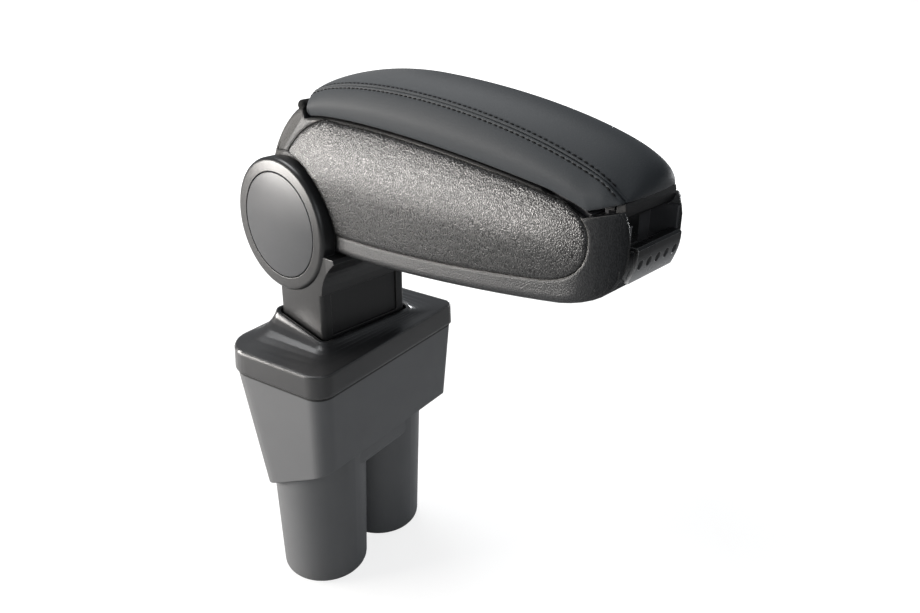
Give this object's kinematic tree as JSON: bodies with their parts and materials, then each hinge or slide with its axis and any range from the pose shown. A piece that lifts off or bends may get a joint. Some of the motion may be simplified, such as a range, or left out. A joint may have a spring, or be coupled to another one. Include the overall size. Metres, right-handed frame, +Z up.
{
  "type": "car centre armrest",
  "caption": "Padded car centre armrest with a storage bin under a latched, hinged lid, folding on a round yoke above a plug for cup wells.",
  "frame": {"origin": "middle of the plug's bottom face, between the two legs", "axes": "+X forward along the arm, +Y to its left, +Z up; the plug is turned 8.8 degrees about Z"},
  "size_m": [0.305, 0.1591, 0.3729],
  "materials": {
    "plug_plastic": "fine matt moulding, dark grey",
    "satin_plastic": "satin, lightly brushed",
    "disc_plastic": "satin gunmetal",
    "grained_plastic": "coarse pebble grain",
    "fine_plastic": "fine grain",
    "black_plastic": "semi-gloss black",
    "cushion_cover": "smooth dark grey leatherette with stitched seams",
    "soft_rubber": "matt",
    "steel": "zinc plated"
  },
  "bodies": {
    "base": {"plug_shell": "plug_plastic", "base_cover": "satin_plastic", "post": "satin_plastic", "post_screws": "steel", "post_panel": "satin_plastic", "hub_cap_left": "disc_plastic", "hub_cap_right": "disc_plastic", "axle_bolt": "steel", "axle_nut": "steel", "axle_washers": "steel"},
    "arm": {"arm_shell": "fine_plastic", "side_panel_left": "grained_plastic", "side_panel_right": "grained_plastic", "axle_sleeve": "steel", "friction_rings": "soft_rubber", "bin_liner": "black_plastic", "bin_mat": "soft_rubber", "liner_screws": "steel", "front_bezel": "black_plastic", "lid_bumpers": "soft_rubber", "lid_hinge_pin": "steel", "latch_pin": "steel", "latch_spring": "steel"},
    "lid": {"lid_pan": "black_plastic", "lid_cushion": "cushion_cover", "lid_liner": "black_plastic", "lid_screws": "steel", "lid_striker": "black_plastic"},
    "latch": {"latch_paddle": "black_plastic"}
  },
  "joints": [
    {"name": "arm_fold", "type": "hinge", "parent": "base", "child": "arm", "pos_m": [-0.015, 0, 0.267], "axis": [0, -1, 0], "range_deg": [0, 90]},
    {"name": "lid_open", "type": "hinge", "parent": "arm", "child": "lid", "pos_m": [0.0025, 0, 0.346], "axis": [0, -1, 0], "range_deg": [0, 75]},
    {"name": "latch_lift", "type": "hinge", "parent": "arm", "child": "latch", "pos_m": [0.23, 0, 0.3], "axis": [0, -1, 0], "range_deg": [0, 6], "stiffness_Nm_per_rad": 0.15, "springref_deg": -5.73}
  ]
}
